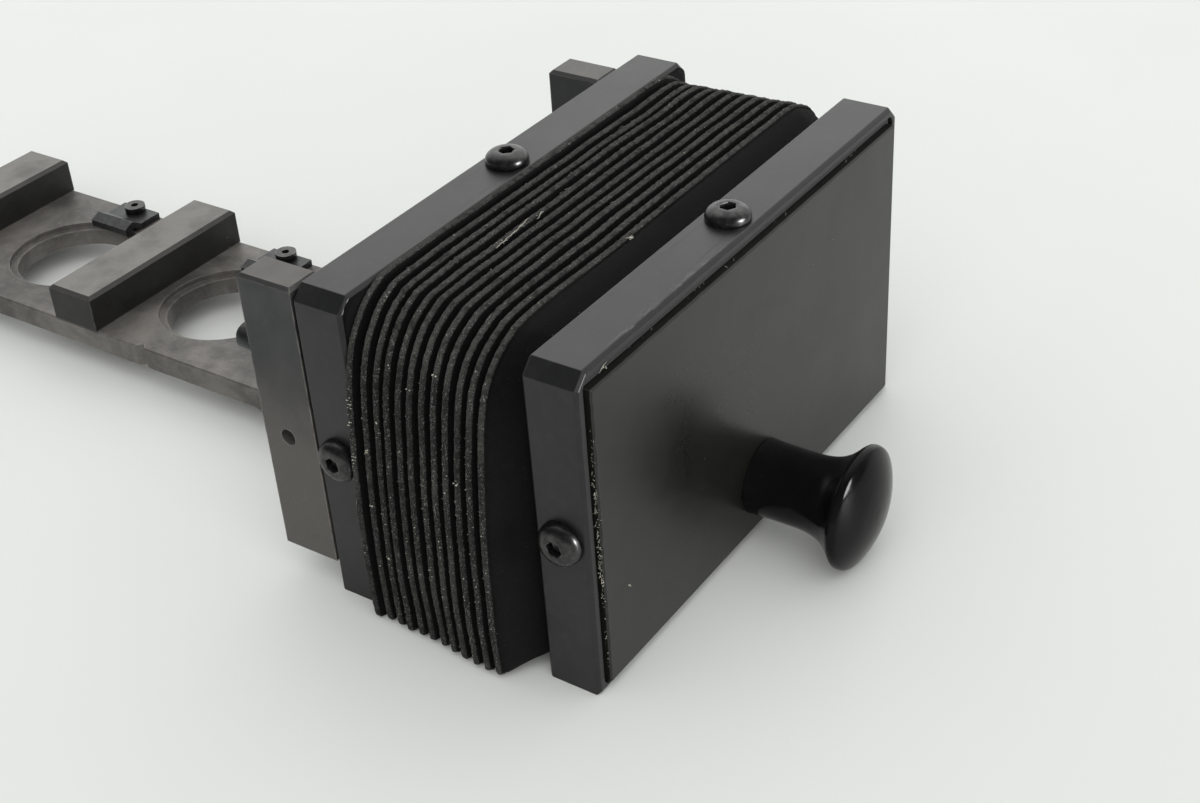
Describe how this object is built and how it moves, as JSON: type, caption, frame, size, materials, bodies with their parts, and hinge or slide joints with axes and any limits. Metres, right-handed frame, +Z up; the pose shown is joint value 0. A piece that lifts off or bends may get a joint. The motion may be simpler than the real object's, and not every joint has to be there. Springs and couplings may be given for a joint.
{
  "type": "negative carrier",
  "caption": "Slide-in negative carrier: pull knob and framed end panel, pleated light-sealing bellows, rear frame with bracket, and a long slide with round film windows",
  "frame": {"origin": "centre of the underside of the bounding box with the carriage pushed in: mid-width of the two frames (X), half way between the knob's face and the strip's tail, 28.3 mm behind the mounting plane of the bracket uprights (Y), the underside of the two frames (Z)", "axes": "+Y runs from the knob towards the tail of the slide, along the pull axis; +Z up; +X to the right as seen from the knob"},
  "size_m": [0.0908, 0.2034, 0.0522],
  "materials": {
    "black_satin": "satin black anodised, edges slightly worn",
    "panel_black": "fine satin black paint",
    "black_cloth": "black woven light-tight cloth, cut edges frayed",
    "bellows_cloth": "black coated bellows cloth, rubbed lighter on the folds",
    "knob_black": "glossy black moulded plastic",
    "black_screw": "black oxide steel",
    "bright_steel": "plain steel",
    "spring_steel": "dull spring steel",
    "dark_pin": "darkened steel",
    "bracket_metal": "dark anodised aluminium, worn grey-brown",
    "strip_metal": "dark anodised aluminium, worn grey-brown",
    "bar_black": "black anodised, top rubbed grey",
    "ivory_slip": "plain low-friction plastic",
    "felt": "black felt"
  },
  "bodies": {
    "rear_frame": {"rear_collar": "black_satin", "rear_cuff": "black_cloth", "rear_guide_plate": "black_satin", "liner_lower": "ivory_slip", "liner_upper": "ivory_slip", "seal_lower": "felt", "seal_upper": "felt", "mount_bracket": "bracket_metal", "bellows": "bellows_cloth", "rear_collar_screws": "black_screw", "bracket_screws": "black_screw", "locating_pins": "dark_pin", "drag_pad": "ivory_slip", "drag_setscrew": "black_screw", "drag_spring": "spring_steel"},
    "carriage": {"front_collar": "black_satin", "front_cuff": "black_cloth", "end_panel": "panel_black", "front_collar_screws": "black_screw", "pull_knob": "knob_black", "knob_stud": "bright_steel", "strip_foot": "bracket_metal", "foot_screws": "black_screw", "foot_dowels": "bright_steel", "slide_strip": "strip_metal", "cross_bar_front": "bar_black", "cross_bar_rear": "bar_black", "bar_screws": "bright_steel", "clip_front": "spring_steel", "clip_rear": "spring_steel", "clip_screws": "bright_steel", "stop_pins": "bright_steel"}
  },
  "joints": [
    {"name": "carriage_slide", "type": "slide", "parent": "rear_frame", "child": "carriage", "axis": [0, -1, 0], "range_m": [0, 0.038], "deforming": ["bellows"]}
  ]
}
